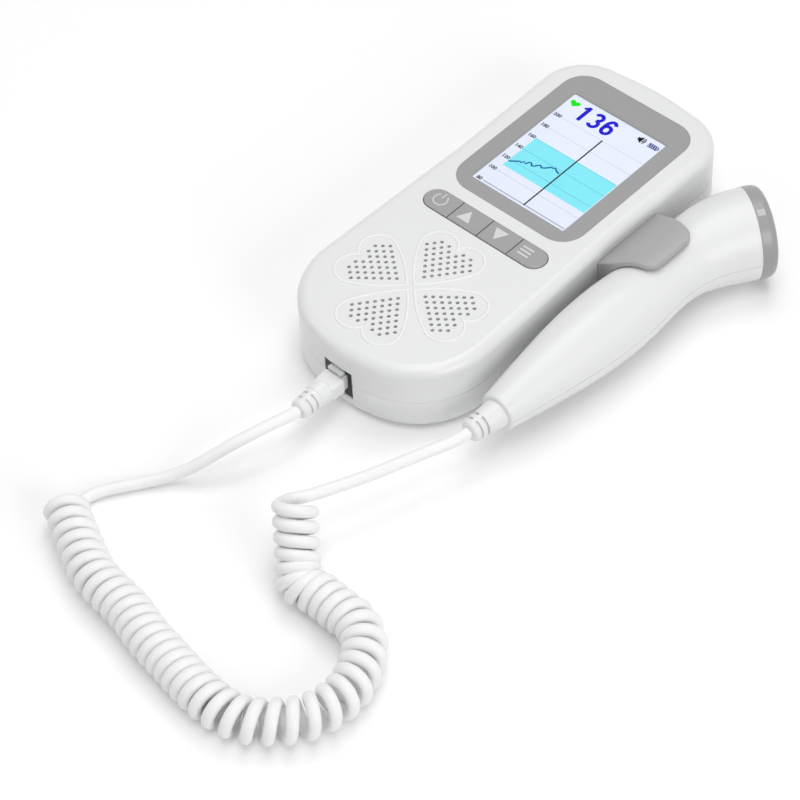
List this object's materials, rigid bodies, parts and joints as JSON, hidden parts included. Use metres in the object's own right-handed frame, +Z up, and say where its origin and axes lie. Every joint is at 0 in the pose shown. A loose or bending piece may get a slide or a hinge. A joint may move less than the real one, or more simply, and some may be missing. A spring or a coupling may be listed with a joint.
{
  "type": "fetal doppler monitor",
  "caption": "Hand-held fetal heart-rate monitor with a display, keys, a clover speaker grille and a probe on a curly cord, held in a side clip.",
  "frame": {"origin": "centre of the monitor's flat back, where it rests on a table", "axes": "+Y towards the display end of the monitor, +X towards the probe's side, +Z up out of the display"},
  "size_m": [0.1419, 0.3081, 0.0348],
  "materials": {
    "shell": "satin white",
    "bezel": "satin light grey",
    "pane": "clear",
    "panel": "dark glass over a lit picture",
    "foam": "matt",
    "key": "satin grey",
    "key_rubber": "matt",
    "switch": "matt",
    "board": "green solder mask",
    "speaker_metal": "zinc plated",
    "paper": "pressed paper",
    "jack": "matt black",
    "gold": "gold plated",
    "clear": "clear polycarbonate",
    "soft_white": "satin white",
    "cell": "printed sleeve, left plain",
    "spring": "nickel plated",
    "clip": "satin mid grey",
    "screw": "zinc plated",
    "cap": "satin mid grey",
    "face": "smooth",
    "crystal": "silvered ceramic",
    "cord": "satin white"
  },
  "bodies": {
    "monitor": {"front_shell": "shell", "rear_shell": "shell", "housing_screws": "screw", "display_bezel": "bezel", "display_window": "pane", "display_panel": "panel", "display_foam": "foam", "button_pad": "key_rubber", "tact_switches": "switch", "main_board": "board", "speaker_frame": "speaker_metal", "speaker_cone": "paper", "modular_jack": "jack", "jack_contacts": "gold", "battery_cell_left": "cell", "battery_cell_right": "cell", "battery_contacts": "spring", "probe_clip": "clip", "clip_screws": "screw", "cord_plug_lead": "cord", "cord_coil": "cord", "cord_probe_lead": "cord"},
    "power_button": {"power_button": "key"},
    "up_button": {"up_button": "key"},
    "down_button": {"down_button": "key"},
    "menu_button": {"menu_button": "key"},
    "probe": {"probe_upper_shell": "shell", "probe_lower_shell": "shell", "probe_cap_ring": "cap", "transducer_face": "face", "transducer_disc": "crystal", "probe_board": "board", "probe_strain_relief": "soft_white"},
    "plug": {"plug_body": "clear", "plug_contacts": "gold", "plug_latch": "clear", "plug_boot": "soft_white"},
    "battery_cover": {"battery_cover": "shell"}
  },
  "joints": [
    {"name": "power_press", "type": "slide", "parent": "monitor", "child": "power_button", "axis": [0, 0, -1], "range_m": [0, 0.0006], "stiffness_N_per_m": 1500, "springref_m": -0.0002},
    {"name": "up_press", "type": "slide", "parent": "monitor", "child": "up_button", "axis": [0, 0, -1], "range_m": [0, 0.0006], "stiffness_N_per_m": 1500, "springref_m": -0.0002},
    {"name": "down_press", "type": "slide", "parent": "monitor", "child": "down_button", "axis": [0, 0, -1], "range_m": [0, 0.0006], "stiffness_N_per_m": 1500, "springref_m": -0.0002},
    {"name": "menu_press", "type": "slide", "parent": "monitor", "child": "menu_button", "axis": [0, 0, -1], "range_m": [0, 0.0006], "stiffness_N_per_m": 1500, "springref_m": -0.0002},
    {"name": "probe_pull", "type": "slide", "parent": "monitor", "child": "probe", "axis": [1, 0, 0], "range_m": [0, 0.03], "deforming": ["cord_probe_lead"]},
    {"name": "plug_pull", "type": "slide", "parent": "monitor", "child": "plug", "axis": [0, -1, 0], "range_m": [0, 0.014], "deforming": ["cord_plug_lead"]},
    {"name": "cover_lift", "type": "slide", "parent": "monitor", "child": "battery_cover", "axis": [0, 0, -1], "range_m": [0, 0.01]}
  ]
}
